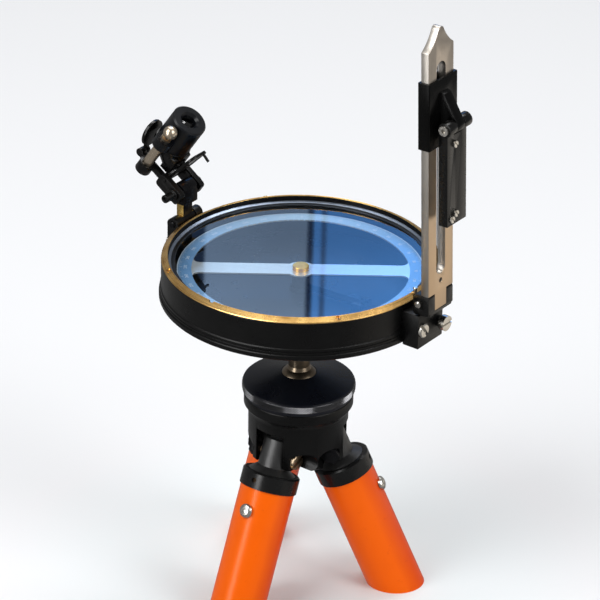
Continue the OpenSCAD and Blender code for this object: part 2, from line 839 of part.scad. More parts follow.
module brake_pin() {
    front = box_r + block_out;
    inner = shell_in_r - 1.1;
    color([0.85, 0.8, 0.7]) {
        rod_x(inner, front + 2.2, fix_y, fix_z, brake_d / 2);
        difference() {
            rod_x(front + 1 + brake_travel + 0.2, front + 4.6, fix_y, fix_z, brake_head_d / 2);
            translate([front + 4, fix_y - 4, fix_z - 0.4]) cube([2, 8, 0.8]);
        }
        translate([inner, fix_y - 1, fix_z - 1]) cube([0.6, 2, dial_z + 0.15 - fix_z + 1]);
    }
}

module vane_foot() {
    low = vane_z - foot_up;
    color([0.08, 0.08, 0.08])
        vane_place()
            difference() {
                union() {
                    for (y = [-vane_w / 2, vane_w / 2 - vane_ear_t])
                        across_y(y, y + vane_ear_t)
                            translate([vane_x - foot_back, low])
                                round_rect([foot_back + foot_front, 2 * foot_up], 1.2);
                    across_y(-vane_w / 2 + 1, vane_w / 2 - 1)
                        translate([vane_face - tongue_t, low]) square([tongue_t, foot_base]);
                }
                rod_y(vane_x, vane_z, -vane_w, vane_w, pin_r + run_fit);
            }
}

module vane_outline() {
    cut_z = shoulder_z + tip_cut_up;
    difference() {
        union() {
            translate([-vane_w / 2, vane_z + foot_up]) square([vane_w, vane_h - foot_up - tip_r / 2]);
            translate([0, vane_z + vane_h - tip_r]) circle(r = tip_r);
        }
        for (side = [-1, 1]) translate([side * tip_cut_x, cut_z]) circle(r = tip_cut_r);
        hull() {
            for (z = [vane_z + slot_foot + slot_w / 2, vane_z + vane_h - slot_top_gap - slot_w / 2])
                translate([0, z]) circle(d = slot_w);
        }
        translate([0, vane_z + peep_up]) circle(d = peep_d);
    }
}

module vane_plate() {
    color([0.72, 0.66, 0.56])
        vane_place() {
            facing_x(vane_back, vane_t) vane_outline();
            translate([vane_face - tongue_t, -tongue_w / 2, vane_z - foot_up + foot_base])
                cube([tongue_t, tongue_w, 2 * foot_up - foot_base + eps]);
        }
}

module sight_hair() {
    low = vane_z + slot_foot;
    color([0.15, 0.15, 0.15])
        vane_place()
            translate([vane_face - vane_t / 2, 0, low])
                cylinder(r = hair_d / 2, h = vane_z + vane_h - slot_top_gap - low);
}

module mirror_slide() {
    inner_w = vane_w + 2 * slide_fit;
    outer_w = inner_w + 2 * slide_wall;
    back = vane_back - slide_fit - slide_back;
    front = vane_face + slide_fit + slide_front;
    low = vane_z + slide_z;
    color([0.07, 0.07, 0.07])
        vane_place()
            difference() {
                union() {
                    translate([0, 0, low])
                        linear_extrude(height = slide_h)
                            translate([back, -outer_w / 2]) round_rect([front - back, outer_w], 0.6);
                    across_y(rib_y - rib_w / 2, rib_y + rib_w / 2)
                        polygon([[front - 0.4, mirror_z + 13.4], [front + 1.6, mirror_z + 12.6],
                            [mirror_x + 2.4, mirror_z + 1.8], [mirror_x - 2.4, mirror_z - 1.8],
                            [front - 0.4, mirror_z - 2.4]]);
                    rod_y(mirror_x, mirror_z, rib_y - rib_w / 2, rib_y + rib_w / 2, barrel_d / 2);
                }
                translate([vane_back - slide_fit, -inner_w / 2, low - 1])
                    cube([vane_t + 2 * slide_fit, inner_w, slide_h + 2]);
                rod_y(mirror_x, mirror_z, -barrel_run, barrel_run, mirror_pin_r);
            }
}

module mirror_frame() {
    low = mirror_z - mirror_h;
    rib_low = rib_y - rib_w / 2 - side_gap / 2;
    rib_high = rib_y + rib_w / 2 + side_gap / 2;
    barrel_low = rib_y - barrel_run / 2;
    barrel_high = rib_y + barrel_run / 2;
    color([0.08, 0.08, 0.08])
        vane_place()
            difference() {
                union() {
                    translate([mirror_back, -mirror_w / 2, low])
                        cube([mirror_t, mirror_w, mirror_h - barrel_d / 2 - side_gap]);
                    for (span = [[barrel_low, rib_low], [rib_high, barrel_high]]) {
                        rod_y(mirror_x, mirror_z, span[0], span[1], barrel_d / 2);
                        y0 = max(span[0], -mirror_w / 2);
                        y1 = min(span[1], mirror_w / 2);
                        translate([mirror_back, y0, mirror_z - barrel_d / 2 - 1])
                            cube([mirror_t, y1 - y0, barrel_d / 2 + 1]);
                    }
                }
                translate([mirror_back - 1, -mirror_w / 2 + mirror_edge, low + mirror_edge])
                    cube([1 + mirror_glass_t, mirror_glass_w, mirror_glass_h]);
                rod_y(mirror_x, mirror_z, -barrel_run, barrel_run, mirror_pin_r + run_fit);
                mirror_screw_places() rotate([0, -90, 0]) cylinder(r = 0.8, h = 1.8);
            }
}

module mirror_screw_places() {
    front = mirror_back + mirror_t;
    for (place = [[-1.5, -7.3], [-3.6, 2.6 - mirror_h], [-0.9, 4.4 - mirror_h]])
        translate([front, place[0], mirror_z + place[1]])
            children();
}

module mirror_glass() {
    low = mirror_z - mirror_h + mirror_edge;
    color([0.8, 0.85, 0.9])
        vane_place()
            translate([mirror_back + 0.05, -mirror_w / 2 + mirror_edge, low])
                cube([mirror_glass_t - 0.05, mirror_glass_w, mirror_glass_h]);
}

module mirror_pin() {
    low = rib_y - barrel_run / 2;
    high = rib_y + barrel_run / 2;
    color([0.78, 0.78, 0.76])
        vane_place()
            difference() {
                union() {
                    rod_y(mirror_x, mirror_z, low - 0.8, high + 0.3, mirror_pin_r);
                    rod_y(mirror_x, mirror_z, low - 1, low - 0.05, 2.1);
                }
                translate([mirror_x, low - 1.01, mirror_z]) rotate([-90, 0, 0])
                    cylinder(r = 1, h = 1, $fn = 6);
            }
}

module mirror_screws() {
    color([0.8, 0.78, 0.72])
        vane_place()
            mirror_screw_places() {
                rotate([0, -90, 0]) cylinder(r = 0.8, h = 1.7);
                rotate([0, 90, 0]) rotate([0, 0, 40]) slotted_head(3, 0.9, 0.2);
            }
}

module prism_bracket() {
    low = box_z - block_drop;
    back = -box_r - bracket_out;
    mid_top = prism_hinge_z - knuckle_r - 0.5;
    inner = post_half + side_gap / 2;
    color([0.07, 0.07, 0.07])
        difference() {
            union() {
                translate([back, -block_w / 2, low]) cube([bracket_out + 2, block_w, mid_top - low]);
                for (y = [-block_w / 2, inner]) {
                    translate([back, y, mid_top - 1])
                        cube([bracket_out, block_w / 2 - inner, prism_hinge_z - mid_top + 1]);
                    rod_y(prism_hinge_x, prism_hinge_z, y, y + block_w / 2 - inner, bracket_out / 2);
                }
            }
            wall_space();
            rod_y(prism_hinge_x, prism_hinge_z, -block_w, block_w, pin_r);
            for (side = [-1, 1]) rod_x(back - 1, -box_r + 3, side * fix_y, fix_z, 1.5);
        }
}

module prism_post() {
    head_low = clamp_z - 5.8;
    color([0.74, 0.58, 0.28])
        difference() {
            union() {
                rod_y(prism_hinge_x, prism_hinge_z, -post_half, post_half, knuckle_r);
                translate([clamp_x - post_t / 2, -post_w / 2, prism_hinge_z])
                    cube([post_t, post_w, clamp_z - prism_hinge_z - 2]);
                translate([clamp_x - post_head_r, -post_half, head_low])
                    cube([2 * post_head_r, 2 * post_half, 3.4]);
                across_y(-post_half, post_half) {
                    translate([clamp_x, clamp_z]) circle(r = post_head_r);
                    translate([clamp_x - post_head_r, head_low])
                        square([2 * post_head_r, clamp_z - head_low]);
                }
            }
            rod_y(prism_hinge_x, prism_hinge_z, -block_w, block_w, pin_r + run_fit);
            rod_y(clamp_x, clamp_z, -block_w, block_w, clamp_pin_r + run_fit);
        }
}

module prism_carrier() {
    color([0.07, 0.07, 0.07])
        prism_place()
            difference() {
                union() {
                    for (y = [-cheek_out, cheek_in])
                        across_y(y, y + cheek_t)
                            translate([-cheek_back, -cheek_h / 2])
                                round_rect([cheek_back + 3.8, cheek_h], 1.6);
                    translate([-cheek_back, -cheek_in - 1, -cheek_h / 2])
                        cube([web_t, 2 * cheek_in + 2, web_t]);
                    translate([dark_x, -cheek_out, dark_z - 1.6])
                        cube([-dark_x - cheek_back + 2, cheek_t, 2.4]);
                    rod_y(dark_x, dark_z, -cheek_out, -cheek_in, 1.8);
                    rod_y(dark_x, dark_z, -cheek_out, -cheek_in + dark_knuckle + 0.2, 0.8);
                    translate([-eye_out - 1.6, guide_y, dark_z - 1.6])
                        cube([3.2, -guide_y - cheek_in - 1, 3.2]);
                    translate([-eye_out, guide_y, dark_z - 1.6])
                        cylinder(r = guide_d / 2 + 1.2, h = guide_z + 1);
                }
                rod_y(0, 0, -block_w, block_w, clamp_pin_r + run_fit);
                rod_y(shade_x, shade_z, -block_w, block_w, shade_pin_r + run_fit);
                translate([-eye_out, guide_y, -10]) cylinder(r = guide_d / 2, h = 20);
            }
}

module clamp_screw() {
    color([0.1, 0.1, 0.1])
        prism_place()
            difference() {
                union() {
                    rod_y(0, 0, -cheek_out - 1, cheek_out + 1, clamp_pin_r);
                    rod_y(0, 0, -cheek_out - 1.1, -cheek_out - 0.1, 2.7);
                    rod_y(0, 0, -cheek_out - 5.6, -cheek_out - 1, 1.75);
                    rod_y(0, 0, cheek_out + 0.1, cheek_out + 1.2, 2.4);
                }
                rod_y(0, 0, -cheek_out - 6, -cheek_out - 4.4, 0.8);
            }
}

module guide_rod() {
    neck_z = boss_z + boss_h + 1;
    color([0.78, 0.75, 0.7])
        prism_place()
            translate([-eye_out, guide_y, 0]) {
                translate([0, 0, dark_z - 1.6]) cylinder(r = guide_d / 2, h = neck_z - dark_z + 1.6);
                cylinder(r = 0.9, h = knob_z);
                translate([0, 0, knob_z]) sphere(r = knob_d / 2);
            }
}

module eye_barrel() {
    color([0.06, 0.06, 0.07])
        prism_place()
            difference() {
                union() {
                    translate([-eye_out, 0, eye_z])
                        rotate_extrude()
                            polygon([[0, 0], [eye_r, 0], [eye_r, eye_h - 0.6], [eye_r - 0.6, eye_h],
                                [0, eye_h]]);
                    translate([-eye_out, guide_y, boss_z]) cylinder(r = boss_r, h = boss_h);
                }
                translate([-eye_out, guide_y, 0]) cylinder(r = guide_d / 2 + run_fit, h = 60);
                translate([-eye_out, 0, eye_z - 1]) cylinder(r = lens_r, h = eye_h - 2);
                translate([-eye_out, 0, eye_z]) cylinder(d = eye_hole_d, h = eye_h + 1);
                translate([-eye_out, 0, eye_z + eye_h - 1])
                    cylinder(r1 = eye_hole_d / 2, r2 = eye_hole_d / 2 + 1, h = 1 + eps);
            }
}

module eye_lens() {
    bulge = 0.7;
    sag_r = (pow(eye_hole_d / 2, 2) + pow(bulge, 2)) / (2 * bulge);
    top_z = eye_z + eye_h - 3;
    color([0.6, 0.7, 0.8, 0.4])
        prism_place() {
            translate([-eye_out, 0, top_z - 1.6]) cylinder(r = lens_r, h = 1.6);
            translate([-eye_out, 0, top_z])
                intersection() {
                    translate([0, 0, bulge - sag_r]) sphere(r = sag_r);
                    cylinder(d = eye_hole_d - 0.4, h = 2);
                }
        }
}

module prism_housing() {
    color([0.07, 0.07, 0.08])
        prism_place()
            difference() {
                union() {
                    translate([-eye_out, 0, eye_z - 2.4]) cylinder(r = eye_r + 0.4, h = 2.4);
                    hull() {
                        translate([-eye_out, 0, eye_z - 2.4]) cylinder(r = eye_r, h = 0.4, $fn = 32);
                        translate([-13, -housing_half, 4.6]) cube([4.8, 2 * housing_half, 1]);
                        translate([-12, -housing_half, 10]) cube([3.8, 2 * housing_half, 0.6]);
                    }
                    translate([-13, -housing_half, 2.6]) cube([4.8, 2 * housing_half, 2.2]);
                }
                prism_space(0.05);
                rod_x(-13, -7, 0, 7.6, 2.6);
                translate([-eye_out, 0, 12]) cylinder(r = 3.4, h = 2);
            }
}

module prism_space(fit) {
    across_y(-prism_half - fit, prism_half + fit)
        polygon([[fit - prism_face, prism_low - 2 * fit], [fit - prism_face, prism_top + fit],
            [-prism_face - prism_top + prism_low - 2 * fit, prism_top + fit]]);
}

module prism_glass() {
    color([0.75, 0.85, 0.9, 0.4]) prism_place() prism_space(0);
}

module shade_place() {
    prism_place() translate([shade_x, 0, shade_z]) rotate([0, shade_lean, 0]) children();
}

module shade_frame() {
    neck_w = 2 * cheek_in - 1;
    color([0.07, 0.07, 0.07])
        shade_place() {
            difference() {
                facing_x(-shade_t / 2, shade_t) {
                    translate([-neck_w / 2, -1]) square([neck_w, 6]);
                    translate([-shade_w / 2, 3.4]) round_rect([shade_w, shade_h - 3.4], 3.4);
                }
                facing_x(-shade_t, 2 * shade_t) shade_window();
            }
            rod_y(0, 0, -cheek_out - 0.3, cheek_out + 0.3, shade_pin_r);
            rod_x(0, 4.2, 3.6, shade_h - 2, 0.6);
        }
}

module shade_window() {
    translate([-shade_w / 2 + 1.3, 5.6]) round_rect([shade_w - 2.6, shade_h - 8.6], 2.4);
}

module shade_glass() {
    color([0.8, 0.55, 0.25, 0.6]) shade_place() facing_x(-0.4, 0.8) shade_window();
}

module dark_shade() {
    color([0.05, 0.05, 0.06])
        prism_place()
            translate([dark_x, 0, dark_z])
                rotate([0, dark_lean, 0])
                    difference() {
                        union() {
                            facing_x(-0.7, 1.4) {
                                translate([-2, dark_h - dark_w / 2]) circle(d = dark_w);
                                translate([-cheek_in + 0.1, 0]) square([dark_knuckle - 0.1, dark_h / 2]);
                            }
                            rod_y(0, 0, -cheek_in + 0.1, -cheek_in + dark_knuckle, 1.8);
                        }
                        rod_y(0, 0, -cheek_out, 0, 0.8 + run_fit);
                    }
}

module leg_head(turn) {
    in_r = tube_d / 2 - tube_wall;
    color([0.06, 0.06, 0.06])
        leg_place(turn)
            difference() {
                union() {
                    translate([0, 0, -collar_down])
                        cylinder(r = knuckle_w / 2, h = collar_down + knuckle_up - 0.8);
                    translate([0, 0, knuckle_up - 0.8 - eps])
                        cylinder(r1 = knuckle_w / 2, r2 = knuckle_w / 2 - 0.8, h = 0.8 + eps);
                    translate([0, 0, -collar_down - eps])
                        cylinder(r1 = in_r, r2 = knuckle_w / 2, h = 2.4);
                    translate([0, 0, -spigot_end]) cylinder(r = in_r, h = spigot_end - collar_down);
                }
                rod_y(0, 0, -knuckle_w, knuckle_w, leg_bolt_r + run_fit);
                rod_x(in_r - 4, tube_d, 0, -leg_screw_down, leg_screw_r);
            }
}

module leg_collar(turn) {
    in_r = tube_d / 2 - tube_wall;
    color([0.05, 0.05, 0.05])
        leg_place(turn)
            difference() {
                translate([0, 0, -tube_top])
                    rotate_extrude()
                        polygon([[in_r, collar_h - 2], [tube_d / 2, collar_h - 2], [tube_d / 2, 0],
                            [collar_r, 0],
                            [collar_r, collar_h - 0.6], [collar_r - 0.6, collar_h], [in_r, collar_h]]);
                rod_x(tube_d / 2 - 0.2, tube_d, 0, -tube_top + collar_h / 2, 1.1);
            }
}

module leg_tube(turn) {
    reach = leg_drop / cos(leg_spread) + tube_d;
    top = collar_down + 2;
    color([1, 0.4, 0.05])
        difference() {
            leg_place(turn)
                difference() {
                    translate([0, 0, -reach]) ring(tube_d / 2, tube_d / 2 - tube_wall, reach - top);
                    rod_x(tube_d / 2 - tube_wall - 1, tube_d, 0, -leg_screw_down, leg_screw_r);
                }
            translate([-2 * reach, -2 * reach, floor_z - 2 * reach]) cube([4 * reach, 4 * reach, 2 * reach]);
        }
}

module leg_screw(turn) {
    color([0.85, 0.85, 0.83])
        leg_place(turn) {
            rod_x(tube_d / 2 - tube_wall - 2, tube_d / 2, 0, -leg_screw_down, leg_screw_r);
            translate([tube_d / 2, 0, -leg_screw_down])
                rotate([0, 90, 0])
                    rotate_extrude()
                        polygon([[0, 0], [leg_screw_d / 2, 0], [leg_screw_d / 2, 0.9],
                            [leg_screw_d / 2 - 0.5, 1.5],
                            [leg_screw_d / 2 - 1.3, 1.9], [0, 2.1]]);
        }
}

tripod_head();
leg_bolts();
clamp_cap();
ball_seat();
ball_stem();
pan_socket();
pan_screw();
base_plate();
base_screws();
box_shell();
glass_gasket();
glass();
glass_ring();
bezel();
bezel_screws();
pivot_post();
dial_ring();
magnet_needle();
hub_cap();
hub_jewel();
lifting_pin();
lifting_lever();
lever_pin();
hinge_block();
block_screws();
hinge_pins();
brake_pin();
vane_foot();
vane_plate();
sight_hair();
mirror_slide();
mirror_frame();
mirror_glass();
mirror_pin();
mirror_screws();
prism_bracket();
prism_post();
prism_carrier();
clamp_screw();
guide_rod();
eye_barrel();
eye_lens();
prism_housing();
prism_glass();
shade_frame();
shade_glass();
dark_shade();
leg_head(leg_turns[0]);  // leg_a_head
leg_collar(leg_turns[0]);  // leg_a_collar
leg_tube(leg_turns[0]);  // leg_a_tube
leg_screw(leg_turns[0]);  // leg_a_screw
leg_head(leg_turns[1]);  // leg_b_head
leg_collar(leg_turns[1]);  // leg_b_collar
leg_tube(leg_turns[1]);  // leg_b_tube
leg_screw(leg_turns[1]);  // leg_b_screw
leg_head(leg_turns[2]);  // leg_c_head
leg_collar(leg_turns[2]);  // leg_c_collar
leg_tube(leg_turns[2]);  // leg_c_tube
leg_screw(leg_turns[2]);  // leg_c_screw
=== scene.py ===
# %% [markdown]
# # A surveyor's compass on a ball head
# The solids of the compass come ready from its CAD model: every plate, pin and tube is at its real size and
# place. This lesson gives them their finish, rounds the edges that catch light, and models by hand what the
# solids leave plain: the print on the dial and the knurling on the cap.

import json
import math

import bmesh
import bpy
from mathutils import Matrix, Vector

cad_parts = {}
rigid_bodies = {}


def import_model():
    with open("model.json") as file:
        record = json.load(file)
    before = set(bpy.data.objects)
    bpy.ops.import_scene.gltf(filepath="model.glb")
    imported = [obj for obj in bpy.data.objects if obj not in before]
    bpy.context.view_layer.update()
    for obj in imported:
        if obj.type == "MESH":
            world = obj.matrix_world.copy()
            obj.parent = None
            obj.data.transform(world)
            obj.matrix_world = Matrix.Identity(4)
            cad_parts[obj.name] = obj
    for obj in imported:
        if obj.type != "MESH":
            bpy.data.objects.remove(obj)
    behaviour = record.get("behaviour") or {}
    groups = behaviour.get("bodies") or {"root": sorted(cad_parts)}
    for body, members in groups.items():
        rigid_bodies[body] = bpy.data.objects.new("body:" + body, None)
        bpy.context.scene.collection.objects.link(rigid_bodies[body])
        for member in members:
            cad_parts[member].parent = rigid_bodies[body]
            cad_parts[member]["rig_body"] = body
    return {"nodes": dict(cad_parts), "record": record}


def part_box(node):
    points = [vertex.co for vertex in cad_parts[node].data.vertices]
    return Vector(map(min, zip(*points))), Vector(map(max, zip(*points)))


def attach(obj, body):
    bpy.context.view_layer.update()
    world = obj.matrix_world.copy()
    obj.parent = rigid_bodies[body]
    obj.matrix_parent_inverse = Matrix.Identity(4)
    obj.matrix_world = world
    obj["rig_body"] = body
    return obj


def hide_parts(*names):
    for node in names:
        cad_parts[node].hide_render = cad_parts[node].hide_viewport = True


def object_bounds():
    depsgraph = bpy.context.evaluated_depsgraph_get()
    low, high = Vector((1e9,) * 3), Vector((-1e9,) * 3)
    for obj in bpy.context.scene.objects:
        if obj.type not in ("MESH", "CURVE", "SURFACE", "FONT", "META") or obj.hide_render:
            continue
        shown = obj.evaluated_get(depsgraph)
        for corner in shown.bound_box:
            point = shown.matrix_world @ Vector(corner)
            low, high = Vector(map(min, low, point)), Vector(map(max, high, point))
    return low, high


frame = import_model()
low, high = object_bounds()
MM = 0.001

# %% [markdown]
# ## Writing a finish as arithmetic
# A finish is a tree of shader nodes. Linked by hand it is hard to read, so a small class wraps one socket and
# turns + - * and / into Math nodes. A mask can then be written as it would be on paper, such as
# 1 - wear * 0.4.


# %%  Sockets with arithmetic
class Wire:
    """One output socket, on which Python's arithmetic adds Math nodes."""

    def __init__(self, finish, socket):
        self.finish, self.socket = finish, socket

    def math(self, operation, a, b=0.0):
        return self.finish.node("ShaderNodeMath", {"operation": operation}, {0: a, 1: b})

    def __add__(self, other):
        return self.math("ADD", self, other)

    def __radd__(self, other):
        return self.math("ADD", other, self)

    def __sub__(self, other):
        return self.math("SUBTRACT", self, other)

    def __rsub__(self, other):
        return self.math("SUBTRACT", other, self)

    def __mul__(self, other):
        return self.math("MULTIPLY", self, other)

    def __truediv__(self, other):
        return self.math("DIVIDE", self, other)

    def __gt__(self, other):
        return self.math("GREATER_THAN", self, other)

    def __lt__(self, other):
        return self.math("LESS_THAN", self, other)

    def either(self, other):
        return self.math("MAXIMUM", self, other)

    def power(self, other):
        return self.math("POWER", self, other)

    def wrap(self, length):
        return self.math("FLOORED_MODULO", self, length)


print("Wire ready")

# %% [markdown]
# ## One method for any node
# A second class holds a material. Its node method adds a node of any kind with its settings and its inputs,
# and the short methods below it name the few nodes that every finish here uses. Places are read from the
# object's own coordinates, which are the same for all pieces, so a height or a radius means what it says.


# %%  Materials
class Finish:
    """A material and its node tree."""

    def __init__(self, name, **plain):
        self.material = bpy.data.materials.new(name)
        self.material.use_nodes = True
        self.tree = self.material.node_tree
        self.shader = self.tree.nodes["Principled BSDF"]
        self.output = self.tree.nodes["Material Output"]
        for socket, value in plain.items():
            self.shader.inputs[socket.replace("_", " ")].default_value = value

    def node(self, kind, settings=None, sockets=None, out=0):
        """Adds any node. A settings key is one of its properties, a sockets key one of its inputs."""
        made = self.tree.nodes.new(kind)
        for key, value in (settings or {}).items():
            if key == "stops":
                ramp = made.color_ramp.elements
                while len(ramp) < len(value):
                    ramp.new(0.5)
                for element, (position, colour) in zip(ramp, value):
                    element.position, element.color = position, colour
            else:
                setattr(made, key, value)
        for key, value in (sockets or {}).items():
            if isinstance(value, Wire):
                self.tree.links.new(value.socket, made.inputs[key])
            else:
                made.inputs[key].default_value = value
        return Wire(self, made.outputs[out])

    def feed(self, **links):
        """Links wires to the shader's own inputs."""
        for socket, wire in links.items():
            self.tree.links.new(wire.socket, self.shader.inputs[socket.replace("_", " ")])

    def split(self, vector):
        """The X, Y and Z of a vector."""
        parts = self.node("ShaderNodeSeparateXYZ", None, {0: vector})
        return [Wire(self, parts.socket.node.outputs[i]) for i in range(3)]

    def place(self):
        return self.node("ShaderNodeTexCoord", out="Object")

    def axes(self):
        return self.split(self.place())

    def facing(self):
        return self.split(self.node("ShaderNodeTexCoord", out="Normal"))

    def radius(self):
        """How far a point is from the pan axis."""
        x, y, z = self.axes()
        return (x * x + y * y).power(0.5)

    def noise(self, scale, detail=2.0, roughness=0.5, vector=None):
        return self.node("ShaderNodeTexNoise", None, {"Vector": vector or self.place(), "Scale": scale,
                                                      "Detail": detail, "Roughness": roughness})

    def stretch(self, x, y, z):
        return self.node("ShaderNodeMapping", None, {"Vector": self.place(), "Scale": (x, y, z)})

    def round_about(self, out, turn, up):
        """Coordinates for lines that run in circles round the Z axis, as a lathe leaves them."""
        x, y, z = self.axes()
        angle = y.math("ARCTAN2", y, x)
        parts = {0: self.radius() * out, 1: angle * turn, 2: z * up}
        return self.node("ShaderNodeCombineXYZ", None, parts)

    def ramp(self, wire, *stops):
        """A colour ramp. A stop's value is a colour, or one number for a grey."""
        stops = [(p, c if isinstance(c, tuple) else (c, c, c, 1)) for p, c in stops]
        return self.node("ShaderNodeValToRGB", {"stops": stops}, {"Fac": wire})

    def blend(self, factor, a, b):
        return self.node("ShaderNodeMix", {"data_type": "RGBA"}, {0: factor, 6: a, 7: b}, out=2)

    def bump(self, height, depth):
        return self.node("ShaderNodeBump", None, {"Height": height, "Distance": depth, "Strength": 1.0})


def rgb(r, g, b):
    """A colour picked on screen, 0 to 255, as the linear values a shader takes."""
    return tuple((c / 255) ** 2.2 for c in (r, g, b)) + (1.0,)


print("Finish ready")

# %% [markdown]
# ## Black finishes
# The box and the tripod's head have a fine crackle paint: a hard black coat with grains that glitter. A noise
# at grain size gives the bump, and the same noise lifts the colour a little on the grains. The cap and the
# sights are smoother, a satin black that shows long soft lights, with finer grain and faint rubbing.


# %%  Crackle paint and satin blacks
def black(name, level, rough, grain, depth, tint=(1, 1, 1), coat=0.0, shine=0.3):
    """A black of a given brightness. Grain is a count per metre, depth is in metres."""
    f = Finish(name, Coat_Weight=coat, Coat_Roughness=0.1, Specular_IOR_Level=shine)
    grains = f.noise(grain, 3.0, 0.6)
    cloud = f.noise(90, 4.0)
    dark = tuple(level * 0.6 * t for t in tint) + (1,)
    light = tuple(level * 1.6 * t for t in tint) + (1,)
    f.feed(
        Base_Color=f.blend(f.ramp(grains * 0.7 + cloud * 0.3, (0.4, 0.0), (0.68, 1.0)), dark, light),
        Roughness=rough + (cloud - 0.5) * 0.25,
        Normal=f.bump(grains, depth),
    )
    return f.material


BOX_PAINT = black("crackle_paint", 0.003, 0.3, 2600, 0.00005, shine=0.22)
# Partly painted light: the leg heads carry the box's crackle paint in a lighter grey, which stands for the
# light that falls on them.
KNUCKLE = black("knuckle_paint_and_light", 0.012, 0.36, 2400, 0.00009, shine=0.9)
SATIN = black("satin_black", 0.003, 0.26, 4200, 0.000014, (1.0, 0.95, 0.9))
SLEEVE = black("sleeve_black", 0.002, 0.24, 4200, 0.000014, shine=0.12)
# Painted reflection: the bluish tint of the cap and the eyepiece stands for the blue room that they reflect.
CAP = black("cap_black", 0.008, 0.3, 3600, 0.00001, (0.75, 0.9, 1.5))
EYE = black("eye_black", 0.004, 0.3, 3600, 0.00001, (0.7, 0.9, 1.4), shine=0.32)
GLOSS = black("gloss_black", 0.006, 0.26, 3000, 0.00002, coat=0.04)
# Painted shade: the pieces under the dial are painted black, which stands for the dark inside of the box.
INNER_SHADE = black("inner_shade_black", 0.002, 0.6, 2600, 0.00001, shine=0.05)
print("blacks", [m.name for m in (BOX_PAINT, KNUCKLE, SATIN, SLEEVE, CAP, EYE, GLOSS, INNER_SHADE)])

# %% [markdown]
# ## Places on the compass
# Some finishes change part way across a piece. The bezel's inner wall is painted black as painted shade, and
# a leg's paint stops under its collar. These are the radii, heights and angles at which they change. Where a
# solid has the same edge, its box gives the number.

# %%  Places
HEADING = math.radians(36)  # from +X to where the camera's right points, and the dial's north with it
LEG_TURNS = [math.radians(turn) for turn in (30, 150, 270)]
LEG_HINGE = (15 * MM, -1.3 * MM)  # a leg's bolt, out from the pan axis and up
LEG_LEAN = math.radians(23)
UNDER_COLLAR = 13.4 * MM  # down a leg from its bolt
NUT_OUT, NUT_ASIDE = 8 * MM, 7 * MM
BEZEL_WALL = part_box("bezel")[1].x - 2.5 * MM
BEZEL_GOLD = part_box("bezel")[1].z - 0.5 * MM
RING_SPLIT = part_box("glass_ring")[1].x - 1.2 * MM
POST_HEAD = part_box("prism_post")[1].z - 9.4 * MM
# Painted light: the vane's outer face is painted warmer and lighter below this height, and this fades above
# it.
VANE_WARM_FROM, VANE_WARM_OVER = 110 * MM, 70 * MM  # the height at which the vane's warm foot begins to fade
RING_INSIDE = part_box("dial_ring")[1].x - 6 * MM
RING_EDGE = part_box("dial_ring")[1].x - 0.45 * MM
print("bezel wall at", round(BEZEL_WALL / MM, 2), "mm, dial ring from", round(RING_INSIDE / MM, 2), "mm")

# %% [markdown]
# ## Metals
# Machined metal isn't one even grey. Turning and brushing leave hair lines, and handling leaves dull patches.
# Stretched noise gives the lines, and slow noise the patches, and both go into colour and roughness. On the
# bezel, the hub and the glass's ring the lines run in circles, since those pieces come off a lathe.


# %%  Metal with lines and patches
def metal(name, base, dark, rough, lines, wear=0.5, adapt=None, turned=False):
    """A worn metal. Lines are noise scales along X, Y and Z, or out, round and up where it is turned."""
    f = Finish(name, Metallic=1.0, Specular_IOR_Level=0.1)
    hair = f.noise(1.0, 3.0, 0.65, vector=f.round_about(*lines) if turned else f.stretch(*lines))
    cloud = f.noise(140, 5.0, 0.6)
    marks = f.ramp(cloud * 0.6 + hair * 0.4, (0.34, 1.0), (0.56, 0.0))
    colour = f.blend(marks * wear, base, dark)
    f.feed(
        Base_Color=adapt(f, colour) if adapt else colour,
        Roughness=rough + (hair - 0.5) * 0.3 + marks * 0.12,
        Normal=f.bump(hair, 0.000004),
    )
    return f.material


print("metal ready")

# %% [markdown]
# ## Paint, painted shade and painted light over the metal
# Some brass and steel pieces are partly painted black, and on the bezel's inner wall and the post's side
# towards the dial that black is painted shade. Each function here takes the plain metal's colour and gives
# the colour with its paint or its painted light. A mask tells where the paint is, and takes the metal look
# away with it.


# %%  Masks for the painted parts
def blackened(f, colour, mask):
    """Paints the part under the mask black, which also takes its metal look away."""
    f.feed(Metallic=1 - mask)
    return f.blend(mask, colour, (0.006, 0.006, 0.007, 1))


def bezel_paint(f, colour):
    """The bezel's inner wall is painted black as painted shade, from its bare top edge down to the glass."""
    height = f.axes()[2]
    return blackened(f, colour, (f.radius() < BEZEL_WALL) * (height < BEZEL_GOLD) * (f.facing()[2] < 0.5))


def ring_tone(f, colour):
    """The ring over the glass is bright near the bezel and dark at its inner half."""
    return f.blend(f.radius() > RING_SPLIT, rgb(72, 76, 82), colour)


def nut_paint(f, colour):
    """The nuts of the leg bolts are black, and the slotted heads on the other side of each fork are bare."""
    x, y, z = f.axes()
    nuts = 0.0
    for turn in LEG_TURNS:
        along = x * math.cos(turn) + y * math.sin(turn)
        aside = y * math.cos(turn) - x * math.sin(turn)
        nuts = nuts + (along > NUT_OUT) * (aside < -NUT_ASIDE)
    return blackened(f, colour, nuts)


def post_paint(f, colour):
    """The prism's post is a brass bar with a black head, and its side towards the dial is painted black as
    painted shade.
    """
    return blackened(f, colour, (f.axes()[2] > POST_HEAD).either(f.facing()[0] > 0.5))


def pin_paint(f, colour):
    """The hinge pin of the vane is bright, that of the prism is black."""
    return blackened(f, colour, f.axes()[0] < 0.0)


def vane_tone(f, colour):
    """The vane's outer face is painted warmer and lighter near the foot as painted light, and its other faces
    have one even tone.
    """
    low_down = f.ramp((f.axes()[2] - VANE_WARM_FROM) / VANE_WARM_OVER, (0.0, 1.0), (1.0, 0.0))
    warm = f.blend(low_down, colour, rgb(204, 178, 148))
    return f.blend(f.facing()[0] > 0.6, rgb(190, 184, 176), warm)


print("masks ready")

# %% [markdown]
# ## The metals by name
# Each metal has a base colour, a darker worn one, a roughness and the scales of its lines. A high scale along
# one axis and a low one along another makes a long thin line.

